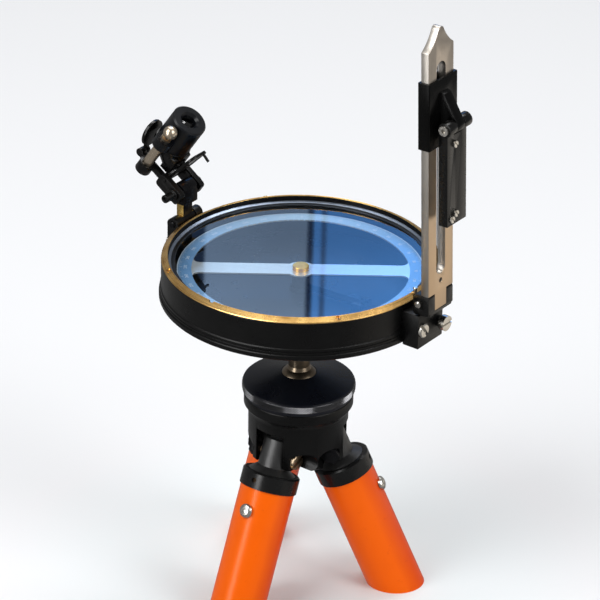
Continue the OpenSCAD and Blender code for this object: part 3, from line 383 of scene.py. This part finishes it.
# %%  Brass, steel and nickel
EVEN = (900, 900, 900)
PALE_STEEL, WORN_STEEL = rgb(216, 212, 204), rgb(120, 116, 110)
GOLD, WORN_GOLD = rgb(214, 180, 105), rgb(140, 100, 45)
BRASS = metal("turned_brass", GOLD, WORN_GOLD, 0.25, (900, 900, 5200))
POST = metal("post_brass", GOLD, WORN_GOLD, 0.25, EVEN, adapt=post_paint)
BEZEL = metal("bezel_brass", rgb(255, 208, 132), rgb(150, 104, 50), 0.24, (1900, 2.2, 1900), wear=0.8,
              adapt=bezel_paint, turned=True)
HUB = metal("hub_brass", rgb(255, 198, 72), rgb(190, 126, 34), 0.32, (2600, 1, 2600), wear=0.6, turned=True)
RING = metal("glass_ring", rgb(140, 152, 170), rgb(80, 88, 100), 0.3, (2600, 2, 2600), adapt=ring_tone,
             turned=True)
SCREW = metal("screw_steel", PALE_STEEL, WORN_STEEL, 0.22, EVEN)
PINS = metal("pin_steel", PALE_STEEL, WORN_STEEL, 0.22, EVEN, adapt=pin_paint)
BOLT = metal("bolt_steel", rgb(170, 150, 126), rgb(70, 58, 46), 0.35, (700, 700, 700), wear=0.8,
             adapt=nut_paint)
STEM = metal("stem_steel", rgb(125, 112, 96), rgb(52, 44, 36), 0.27, (200, 200, 3800))
VANE = metal("vane_nickel", rgb(182, 172, 160), rgb(128, 118, 106), 0.34, (2400, 2400, 160), wear=0.3,
             adapt=vane_tone)
GUIDE = metal("guide_nickel", rgb(214, 198, 176), rgb(150, 132, 108), 0.26, EVEN, wear=0.4)
MAGNET = metal("magnet_steel", rgb(30, 32, 38), rgb(14, 14, 18), 0.5, (600, 600, 600))
HAIR = metal("hair_wire", rgb(60, 58, 56), rgb(30, 30, 30), 0.4, (600, 600, 600))
KNURL = metal("knurl_black", rgb(104, 104, 106), rgb(60, 60, 62), 0.14, EVEN)
print("materials so far", len(bpy.data.materials))

# %% [markdown]
# ## The orange legs
# The tubes have a thick semi-gloss paint. It is a strong colour with a clear coat, and the coat has the
# slight waves that spraying leaves, so the long lights down a tube aren't ruler straight. The side facing the
# camera's right is darker and redder, which is painted shade, and the paint stops under the collar.

# %%  Orange paint
f = Finish("orange_paint", Specular_IOR_Level=0.3, Specular_Tint=(1, 0.6, 0.25, 1), Coat_Weight=0.2,
           Coat_Roughness=0.14, Coat_Tint=(1, 0.8, 0.6, 1))
waves = f.noise(60, 2.0)
grain = f.noise(1500, 2.0)
scuff = f.ramp(f.noise(240, 6.0, 0.7), (0.62, 0.0), (0.74, 1.0))
x, y, z = f.axes()
outward = 0.0
for turn in LEG_TURNS:
    outward = (x * math.cos(turn) + y * math.sin(turn)).either(outward)
down_leg = (outward - LEG_HINGE[0]) * math.sin(LEG_LEAN) + (LEG_HINGE[1] - z) * math.cos(LEG_LEAN)
nx, ny, nz = f.facing()
# Painted shade: the side facing the camera's right is painted darker and redder. The same darker colour also
# marks scuffs and waves.
shaded_side = f.ramp(nx * math.cos(HEADING) + ny * math.sin(HEADING), (0.4, 0.0), (1.0, 0.75))
paint = f.blend(scuff * 0.25 + (waves - 0.5) * 0.2 + shaded_side, rgb(253, 102, 0), rgb(206, 48, 0))
f.feed(
    Base_Color=f.blend(down_leg > UNDER_COLLAR, (0.004, 0.004, 0.004, 1), paint),
    Roughness=0.34 + (grain - 0.5) * 0.2 + scuff * 0.15,
    Normal=f.bump(waves * 0.9 + grain * 0.1, 0.00004),
)
ORANGE = f.material
print("orange paint ready")

# %% [markdown]
# ## Glass
# A pane in front of a dark box is mostly seen by what it reflects. A Fresnel factor between a transparent and
# a glossy shader gives that and lets the light through to the dial, which a solid glass shader would darken.


# %%  Glass
def pane(name, tint, strength=1.0):
    """Clear glass that reflects more at a flat angle. Its inner faces reflect nothing."""
    f = Finish(name)
    f.tree.nodes.remove(f.shader)
    through = f.node("ShaderNodeBsdfTransparent", None, {"Color": tint})
    shine = f.node("ShaderNodeBsdfGlossy", None, {"Color": (1, 1, 1, 1), "Roughness": 0.02})
    inside = f.node("ShaderNodeNewGeometry", out="Backfacing")
    edge = f.node("ShaderNodeFresnel", None, {"IOR": 1.5}) * strength * (1 - inside)
    mixed = f.node("ShaderNodeMixShader", None, {0: edge, 1: through, 2: shine})
    f.tree.links.new(mixed.socket, f.output.inputs["Surface"])
    return f.material


CLEAR = pane("clear_glass", (0.93, 0.96, 0.98, 1), 1.3)
LENS = pane("lens_glass", (0.6, 0.68, 0.74, 1), 1.5)
AMBER = pane("amber_glass", rgb(226, 180, 120))
print("glass", [m.name for m in (CLEAR, LENS, AMBER)])

# %% [markdown]
# ## Mirror, rubber and jewel
# Three small finishes with one varying roughness each: the silvered mirror with faint wipe marks, the dull
# gasket under the glass and the ruby that the dial turns on.

# %%  Small finishes
f = Finish("mirror_silver", Metallic=1.0, Base_Color=(0.9, 0.92, 0.94, 1))
f.feed(Roughness=0.03 + f.noise(300, 3.0) * 0.05)
MIRROR = f.material

f = Finish("gasket_rubber", Base_Color=(0.015, 0.015, 0.015, 1))
f.feed(Roughness=0.6 + f.noise(900, 2.0) * 0.2)
RUBBER = f.material

f = Finish("ruby", Base_Color=(0.35, 0.01, 0.03, 1), Coat_Weight=1.0)
f.feed(Roughness=0.08 + f.noise(900, 2.0) * 0.08)
RUBY = f.material
print("mirror, rubber and jewel ready")

# %% [markdown]
# ## The dial's face
# The bar across the ring is bare silver. The ring's blue-grey is a painted reflection of the blue room, paler
# towards the far and the near side as painted sheen, and the ring's rim carries a painted highlight.

# %%  Dial
f = Finish("dial_silver")
grain = f.noise(1.0, 3.0, 0.6, vector=f.stretch(500, 500, 500))
x, y, z = f.axes()
radius = f.radius()
on_ring = radius > RING_INSIDE
across_view = y * math.cos(HEADING) - x * math.sin(HEADING)
sheen = across_view / radius
# Painted reflection: the ring's blue stands for the blue room, and its paler far and near sides are painted
# sheen.
ring = f.blend(sheen * sheen, rgb(110, 150, 188), rgb(182, 208, 230))
bar = f.blend(grain, rgb(240, 234, 222), rgb(224, 218, 206))
# Painted highlight: the bright band at the ring's rim.
f.feed(
    Base_Color=f.blend(radius > RING_EDGE, f.blend(on_ring, bar, ring), rgb(220, 234, 246)),
    Metallic=0.62 - on_ring * 0.46,
    Roughness=0.11 + (grain - 0.5) * 0.06 + on_ring * 0.15,
    Normal=f.bump(grain, 0.000001),
)
DIAL = f.material
print("dial finish ready")

# %% [markdown]
# ## Putting the finishes on
# The CAD record gives each solid a slot, which is the stuff it is made of. One table turns a slot into a
# finish, and a second one holds the few solids whose look differs from the rest of their slot.

# %%  Which node has which finish
FINISHES = {
    "box_paint": BOX_PAINT, "cap_black": CAP, "satin_black": SATIN, "collar_black": GLOSS,
    "leg_orange": ORANGE, "bolt_steel": BOLT, "screw_steel": SCREW, "stem_steel": STEM,
    "vane_metal": VANE, "magnet_steel": MAGNET, "hair_wire": HAIR, "brass": BRASS,
    "bezel_brass": BEZEL, "ring_silver": RING, "dial_face": DIAL, "gasket_rubber": RUBBER,
    "clear_glass": CLEAR, "amber_glass": AMBER, "jewel": RUBY, "mirror_silver": MIRROR,
}
SPECIAL = {
    "eye_barrel": EYE, "guide_rod": GUIDE, "mirror_slide": SLEEVE, "eye_lens": LENS, "prism_glass": LENS,
    "prism_post": POST, "hinge_pins": PINS, "hub_cap": HUB,
    "leg_a_head": KNUCKLE, "leg_b_head": KNUCKLE, "leg_c_head": KNUCKLE,
    "pivot_post": INNER_SHADE, "lifting_lever": INNER_SHADE, "lever_pin": INNER_SHADE,
}
SLOT_OF = {s["node"]: s["material_slot"] for s in frame["record"]["subparts"]}
for name, node in frame["nodes"].items():
    node.data.materials.clear()
    node.data.materials.append(SPECIAL.get(name, FINISHES[SLOT_OF[name]]))
print("finished nodes", len(frame["nodes"]))

# %% [markdown]
# ## Turning a mesh into a piece
# Every piece that this lesson adds is made the same way. Its mesh gets one finish and it rides on the body
# that carries it, so that it moves with the rest.


# %%  New pieces
def new_piece(bm, name, material, body):
    """Makes a piece from a bmesh and lets it ride on a body."""
    mesh = bpy.data.meshes.new(name)
    bm.to_mesh(mesh)
    bm.free()
    mesh.materials.append(material)
    piece = bpy.data.objects.new(name, mesh)
    bpy.context.scene.collection.objects.link(piece)
    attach(piece, body)
    return piece


print("new_piece ready")

# %% [markdown]
# ## Rounded edges
# Real machined edges are broken by half a millimetre or less, and that thin line is what catches the light
# on a black part. A copy of each solid gets its loose triangles merged, its flat faces joined and its sharp
# edges bevelled. The copy then stands for the solid.

# %%  Bevelled copies
EDGE_ANGLE, SMOOTH_ANGLE, FLAT_ANGLE = math.radians(32), math.radians(35), math.radians(0.5)


def rounded(name, width_mm):
    """A copy of a solid with its sharp edges bevelled, in the solid's place."""
    node = frame["nodes"][name]
    bm = bmesh.new()
    bm.from_mesh(node.data)
    bmesh.ops.remove_doubles(bm, verts=bm.verts, dist=2e-6)
    bmesh.ops.dissolve_degenerate(bm, dist=1e-6, edges=bm.edges)
    bmesh.ops.dissolve_limit(bm, angle_limit=FLAT_ANGLE, verts=bm.verts, edges=bm.edges)
    sharp = [e for e in bm.edges if len(e.link_faces) == 2 and e.calc_face_angle(0) > EDGE_ANGLE]
    bmesh.ops.bevel(bm, geom=sharp, offset=width_mm * MM, offset_type="OFFSET", affect="EDGES",
                    segments=2, profile=0.5, material=-1, clamp_overlap=True)
    piece = new_piece(bm, name + "_rounded", node.data.materials[0], node["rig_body"])
    for polygon in piece.data.polygons:
        polygon.use_smooth = True
    piece.data.set_sharp_from_angle(angle=SMOOTH_ANGLE)
    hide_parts(name)


WIDTHS_MM = {
    "hinge_block": 0.5, "vane_foot": 0.35, "vane_plate": 0.15, "mirror_slide": 0.3, "mirror_frame": 0.3,
    "prism_bracket": 0.5, "prism_post": 0.25, "prism_carrier": 0.4, "clamp_screw": 0.15, "pan_socket": 0.3,
    "prism_housing": 0.3, "shade_frame": 0.15, "dark_shade": 0.15,
    "tripod_head": 0.35, "leg_bolts": 0.2, "pan_screw": 0.3,
}
for name, width in WIDTHS_MM.items():
    rounded(name, width)
print("rounded copies", len(WIDTHS_MM))

# %% [markdown]
# ## The dial's divisions
# The compass card carries a fine scale: a short tick for each degree, and longer ones at 5 and 10. Each tick
# is a thin raised slip of enamel, copied round the ring in one mesh that turns with the dial.

# %%  Divisions
DIAL_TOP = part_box("dial_ring")[1].z
DIAL_R = 51 * MM
PRINT_H = 0.04 * MM
TICK_INSET = 0.35  # mm from DIAL_R to the outer end of each tick
LONG, MIDDLING, SHORT = 1.9, 1.4, 0.9  # mm along a tick
BROAD, THIN = 0.16, 0.11  # mm across it

f = Finish("white_print")
grain = f.noise(3000, 2.0)
f.feed(Base_Color=f.blend(grain, rgb(176, 188, 204), rgb(204, 212, 222)),
       Roughness=0.45 + (grain - 0.5) * 0.2)
PRINT = f.material

bm = bmesh.new()
for degree in range(360):
    reach = LONG if degree % 10 == 0 else MIDDLING if degree % 5 == 0 else SHORT
    width = BROAD if degree % 10 == 0 else THIN
    middle = DIAL_R - (TICK_INSET + reach / 2) * MM
    slip = bmesh.ops.create_cube(bm, size=1.0)["verts"]
    bmesh.ops.scale(bm, vec=(reach * MM, width * MM, PRINT_H), verts=slip)
    bmesh.ops.translate(bm, vec=(middle, 0, DIAL_TOP + PRINT_H / 2), verts=slip)
    bmesh.ops.rotate(bm, cent=(0, 0, 0), matrix=Matrix.Rotation(math.radians(degree) + HEADING, 3, "Z"),
                     verts=slip)
ticks = new_piece(bm, "dial_ticks", PRINT, "dial")
print("division faces", len(ticks.data.polygons))

# %% [markdown]
# ## The dial's numbers
# Every tenth degree has a number. Each one is text turned into mesh, moved out to the ring and turned to its
# place. The numbers rise clockwise, as on a card that is read against the north.

# %%  Numbers
NUMBER_SIZE = 2.0 * MM
NUMBER_R = DIAL_R - 3.6 * MM

bm = bmesh.new()
for degree in range(0, 360, 10):
    curve = bpy.data.curves.new("number", "FONT")
    curve.body = str(degree)
    curve.size = NUMBER_SIZE
    curve.align_x, curve.align_y = "CENTER", "CENTER"
    curve.extrude = PRINT_H / 2
    curve.resolution_u = 3
    text = bpy.data.objects.new("number", curve)
    bpy.context.scene.collection.objects.link(text)
    bpy.context.view_layer.update()
    flat = bpy.data.meshes.new_from_object(text)
    spot = Matrix.Rotation(-math.radians(degree) + HEADING, 4, "Z")
    flat.transform(spot @ Matrix.Translation((0, NUMBER_R, DIAL_TOP + PRINT_H / 2)))
    bm.from_mesh(flat)
    bpy.data.objects.remove(text)
    bpy.data.meshes.remove(flat)
numbers = new_piece(bm, "dial_numbers", PRINT, "dial")
print("number faces", len(numbers.data.polygons))

# %% [markdown]
# ## Knurling on the clamp cap
# The cap is turned by hand, so its side is knurled: two sets of slanted grooves cross and leave rows of
# small diamonds. A fine cylinder is laid on the side, and each vertex moves out where both groove patterns
# are high.

# %%  Knurled band
CAP_R = 23.45 * MM
KNURL_SINK, KNURL_H = 0.05 * MM, 0.42 * MM  # how deep the grooves lie in the cap, and how high the points are
AROUND, ROWS = 480, 12
PER_DIAMOND = 4  # vertices across one diamond, each way
FADE = 8  # how fast the pattern rises from the band's edges
cap_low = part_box("clamp_cap")[0]
BAND = (cap_low.z + 1.35 * MM, cap_low.z + 4.55 * MM)
BAND_H = BAND[1] - BAND[0]
DIAMONDS_UP = ROWS / PER_DIAMOND
PITCH = BAND_H / DIAMONDS_UP

bm = bmesh.new()
bmesh.ops.create_cone(bm, cap_ends=False, segments=AROUND, radius1=CAP_R, radius2=CAP_R, depth=BAND_H)
upright = [e for e in bm.edges if abs(e.verts[0].co.z - e.verts[1].co.z) > 1e-6]
bmesh.ops.subdivide_edges(bm, edges=upright, cuts=ROWS - 1)
for v in bm.verts:
    turn = math.atan2(v.co.y, v.co.x) * AROUND / PER_DIAMOND / (2 * math.pi)
    climb = (v.co.z + BAND_H / 2) / PITCH
    one = 1 - abs(((turn + climb) % 1) * 2 - 1)
    two = 1 - abs(((turn - climb) % 1) * 2 - 1)
    edge = min(1, FADE * min(climb, DIAMONDS_UP - climb))
    radius = CAP_R - KNURL_SINK + edge * min(one, two) * KNURL_H
    v.co.x, v.co.y = v.co.x / CAP_R * radius, v.co.y / CAP_R * radius
    v.co.z += (BAND[0] + BAND[1]) / 2
band = new_piece(bm, "knurled_band", KNURL, "cap")
print("knurled band faces", len(band.data.polygons))

# %% [markdown]
# ## The floor
# The compass stands on a pale floor that runs far out behind it, so floor and background are one white. It
# takes the shadow, and near the legs it is painted a little cooler to cancel the orange light they bounce
# onto it. Mirror-like surfaces don't see it, which keeps the black paint deep.

# %%  Floor and world
TINT_REACH = 0.125
WORLD_LIGHT = 0.25

bpy.ops.mesh.primitive_plane_add(size=40, location=(0, 0, low.z))
floor = bpy.context.object
floor.name = "floor"
f = Finish("floor_paper", Roughness=0.9)
# Painted light: the floor is tinted cooler near the legs to cancel the orange light that they bounce onto it.
near = f.ramp(f.radius() / TINT_REACH, (0.3, 1.0), (1.0, 0.0))
f.feed(Base_Color=f.blend(near, (0.84, 0.85, 0.87, 1), (0.78, 0.87, 0.89, 1)))
floor.data.materials.append(f.material)
floor.visible_glossy = False

world = bpy.data.worlds.new("studio")
bpy.context.scene.world = world
world.use_nodes = True
sky = world.node_tree.nodes["Background"]
sky.inputs["Color"].default_value = (1, 1, 1, 1)
sky.inputs["Strength"].default_value = WORLD_LIGHT
print("floor at", round(low.z / MM, 1), "mm")

# %% [markdown]
# ## Lights
# Three broad soft lights give the long soft streaks on the blacks. They are placed as the photographer sees
# them: so far to the right, so far away and so far up.

# %%  Lights
AZ = math.radians(36.15)
RIGHT = Vector((math.cos(AZ), math.sin(AZ), 0))
AWAY = Vector((-math.sin(AZ), math.cos(AZ), 0))
UP = Vector((0, 0, 1))
MIDDLE = Vector((0, 0, 0.04))


def studio(right, away, up):
    """A place in metres, as seen from the camera."""
    return RIGHT * right + AWAY * away + UP * up


def softbox(name, place, size, power):
    """A broad lamp that looks at the compass."""
    light = bpy.data.lights.new(name, "AREA")
    light.shape, light.size, light.size_y = "RECTANGLE", size[0], size[1]
    light.energy = power
    lamp = bpy.data.objects.new(name, light)
    bpy.context.scene.collection.objects.link(lamp)
    lamp.location = place
    lamp.rotation_euler = (MIDDLE - place).to_track_quat("-Z", "Y").to_euler()


softbox("key_left", studio(-0.8, -0.5, 1.0), (0.7, 0.9), 10.8)
softbox("fill_right", studio(0.9, -0.6, 0.7), (0.6, 0.8), 7.6)
softbox("back_top", studio(0.1, 0.7, 1.4), (1.2, 0.5), 12)
print("lights", len(bpy.data.lights))

# %% [markdown]
# ## What the camera sees
# The camera stands far off with a long lens and looks down at 28 degrees, past the near side of the object
# vane. These numbers fix its line, its distance and its scale. The camera itself is made last, but the cards
# for the reflections need them first.

# %%  Line of sight
SIGHT_LINE = math.radians(27.85)
DISTANCE = 1.65
PIXELS_PER_MM = 2.434
DIAL_PIXEL = 301  # the column of the picture in which the dial's middle lies
BOX_MIDDLE = Vector((0, 0, 0.0845))
CAM_BACK = -AWAY * math.cos(SIGHT_LINE) + UP * math.sin(SIGHT_LINE)
CAM_UP = AWAY * math.sin(SIGHT_LINE) + UP * math.cos(SIGHT_LINE)


def on_picture(pixels):
    """The length at the compass, in metres, that spans so many pixels."""
    return pixels / PIXELS_PER_MM * MM


print("ten pixels span", round(on_picture(10) / MM, 2), "mm")

# %% [markdown]
# ## Cards that only reflections show
# A polished piece shows the room. A card with a glow painted on it stands in for a piece of the room. The
# camera doesn't see it and it lights nothing, so it changes the shiny surfaces alone.


# %%  A mirror card
def mirror_card(name, centre, across, upward):
    """A card that only shows in reflections, with its own coordinates from 0 to 1 each way."""
    mesh = bpy.data.meshes.new(name)
    bm = bmesh.new()
    corners = [bm.verts.new(centre + across * u + upward * v)
               for u, v in ((-1, -1), (1, -1), (1, 1), (-1, 1))]
    face = bm.faces.new(corners)
    flat = bm.loops.layers.uv.new("card")
    for loop, uv in zip(face.loops, ((0, 0), (1, 0), (1, 1), (0, 1))):
        loop[flat].uv = uv
    bm.to_mesh(mesh)
    bm.free()
    card = bpy.data.objects.new(name, mesh)
    bpy.context.scene.collection.objects.link(card)
    card.visible_camera = False
    card.visible_diffuse = False
    card.visible_shadow = False
    f = Finish(name, Base_Color=(0, 0, 0, 1), Specular_IOR_Level=0.0, Emission_Strength=1.0)
    mesh.materials.append(f.material)
    u, v, w = f.split(f.node("ShaderNodeTexCoord", out="UV"))
    return f, u, v


print("mirror_card ready")

# %% [markdown]
# ## What the glass reflects
# The glass is flat, so it shows one patch of the room: the one that lies behind the compass, as high as the
# camera looks down. There the room has a slate wall on the left and a blue one on the right, with a dark gap
# and a darker post near the middle. The stops are given as columns of the picture, since that is how the
# walls are seen.

# %%  Card behind the compass
CARD_AWAY = 1.0
CARD_HALF = (0.16, 0.12)
CARD_SCALE = on_picture((DISTANCE + CARD_AWAY) / DISTANCE)  # metres on the card for each pixel
CARD_LEAN = 0.014  # the walls' edges lean a little to the right
SLATE, BLUE = (0.95, 1.4, 2.1, 1), (0.42, 1.4, 3.6, 1)
FAR_LEFT, GAP, POST_SIDE = (0.06, 0.12, 0.26, 1), (0.06, 0.12, 0.3, 1), (0.2, 0.55, 1.4, 1)
LOW_WALL = (0.1, 0.16, 0.3, 1)
STOPS = ((203, FAR_LEFT), (206, SLATE), (305.5, SLATE), (307.5, GAP), (311.5, GAP), (314, BLUE), (319, BLUE),
         (321.5, POST_SIDE), (324, POST_SIDE), (327, BLUE))


def card_stop(pixel):
    """Where a column of the picture, seen in the glass, falls on the card, from 0 to 1 across it."""
    return 0.5 + (pixel - DIAL_PIXEL) * CARD_SCALE / (2 * CARD_HALF[0])


centre = BOX_MIDDLE + (AWAY * math.cos(SIGHT_LINE) + UP * math.sin(SIGHT_LINE)) * CARD_AWAY
f, u, v = mirror_card("room_card", centre, RIGHT * CARD_HALF[0],
                      (UP * math.cos(SIGHT_LINE) - AWAY * math.sin(SIGHT_LINE)) * CARD_HALF[1])
room = f.ramp(u + (v - 0.5) * CARD_LEAN, *[(card_stop(pixel), colour) for pixel, colour in STOPS])
cloud = f.noise(7, 3.0, 0.5)
shade = f.ramp(v + (cloud - 0.5) * 0.6, (0.3, 0.55), (0.62, 1.0))
f.feed(Emission_Color=f.blend(1 - shade, room, LOW_WALL))
print("room card stops", len(STOPS))

# %% [markdown]
# ## What the metals reflect
# Three more cards give the metals their lights: a warm one low on the right for the vane, a striped one
# overhead for the bezel, which breaks its gold into short glints, and a bright one in front on the left for
# the streaks down the legs.

# %%  Cards for the metals
STRIPES = 23

f, u, v = mirror_card("floor_card", studio(0.5, 0.12, low.z + 0.002), RIGHT * 0.32, AWAY * 0.36)
f.feed(Emission_Color=f.ramp(u, (0.1, (0.7, 0.65, 0.58, 1)), (0.75, (1.1, 1.04, 0.96, 1))))
f, u, v = mirror_card("top_card", studio(0.0, -0.06, 0.9), RIGHT * 0.34, AWAY * 0.1)
stripe = (u * STRIPES).wrap(1.0)
f.feed(Emission_Color=f.ramp(stripe, (0.2, (0.5, 0.48, 0.45, 1)), (0.5, (1.7, 1.65, 1.5, 1))))
f, u, v = mirror_card("front_card", studio(-0.8, -0.75, 0.24), studio(0.17, -0.18, 0), UP * 0.3)
f.feed(Emission_Color=f.ramp(u, (0.0, 0.0), (0.4, 8.0), (0.6, 8.0), (1.0, 0.0)))

# %% [markdown]
# ## The camera
# The lens follows from the scale: so many pixels to a millimetre at the compass, over a picture 600 pixels
# wide. The picture is turned by about a degree, since the photographer held the camera a little askew.

# %%  Camera
PICTURE, SENSOR = 600, 36
ROLL = math.radians(0.95)
SHIFT_RIGHT, SHIFT_UP = 0.2, 41.3  # pixels by which the box's middle lies right of and above the centre

aim = BOX_MIDDLE - RIGHT * on_picture(SHIFT_RIGHT) - CAM_UP * on_picture(SHIFT_UP)
camera_data = bpy.data.cameras.new("camera")
camera_data.sensor_width = SENSOR
camera_data.lens = SENSOR * PIXELS_PER_MM / MM * DISTANCE / PICTURE
camera = bpy.data.objects.new("camera", camera_data)
bpy.context.scene.collection.objects.link(camera)
roll = Matrix.Rotation(ROLL, 3, CAM_BACK)
look = Matrix((roll @ RIGHT, roll @ CAM_UP, CAM_BACK)).transposed()
camera.matrix_world = Matrix.Translation(aim + CAM_BACK * DISTANCE) @ look.to_4x4()
bpy.context.scene.camera = camera
bpy.context.scene.view_settings.view_transform = "Standard"
print("camera at", [round(v, 3) for v in camera.location])
